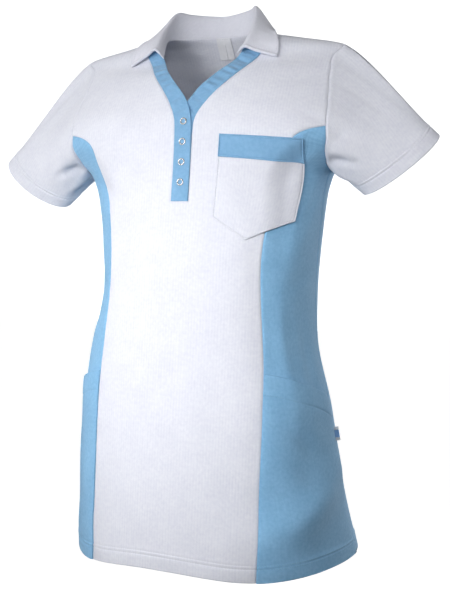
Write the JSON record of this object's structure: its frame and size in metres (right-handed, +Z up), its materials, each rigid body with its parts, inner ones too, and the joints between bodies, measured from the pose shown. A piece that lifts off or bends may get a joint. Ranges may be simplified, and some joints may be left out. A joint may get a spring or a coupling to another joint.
{
  "type": "polo shirt",
  "caption": "Hollow short-sleeved knit polo shirt with a flat collar, a contrast snap placket, contrast side panels, a pointed chest pocket and side pockets.",
  "frame": {"origin": "between the two shoulder seams where they meet the neck, in the shirt's middle plane; the wearer's shoulders hold it there", "axes": "+Z up to the collar, -Y to the wearer's front, +X to the wearer's left"},
  "size_m": [0.6773, 0.3158, 0.7973],
  "materials": {
    "white_knit": "matt double pique knit",
    "blue_knit": "matt double pique knit",
    "snap_metal": "polished",
    "label_cloth": "smooth woven tape",
    "tab_cloth": "smooth woven tape"
  },
  "bodies": {
    "root": {"front_panel": "white_knit", "back_panel": "white_knit", "side_front_left": "blue_knit", "side_front_right": "blue_knit", "side_back_left": "blue_knit", "side_back_right": "blue_knit", "sleeve_left": "white_knit", "sleeve_right": "white_knit", "collar": "white_knit", "placket_right": "blue_knit", "placket_left": "blue_knit", "chest_pocket": "white_knit", "chest_pocket_band": "blue_knit", "side_pocket_left": "blue_knit", "side_pocket_right": "blue_knit", "snap_1": "snap_metal", "snap_2": "snap_metal", "snap_3": "snap_metal", "snap_4": "snap_metal", "neck_label": "label_cloth", "pocket_tab": "tab_cloth"}
  },
  "joints": []
}
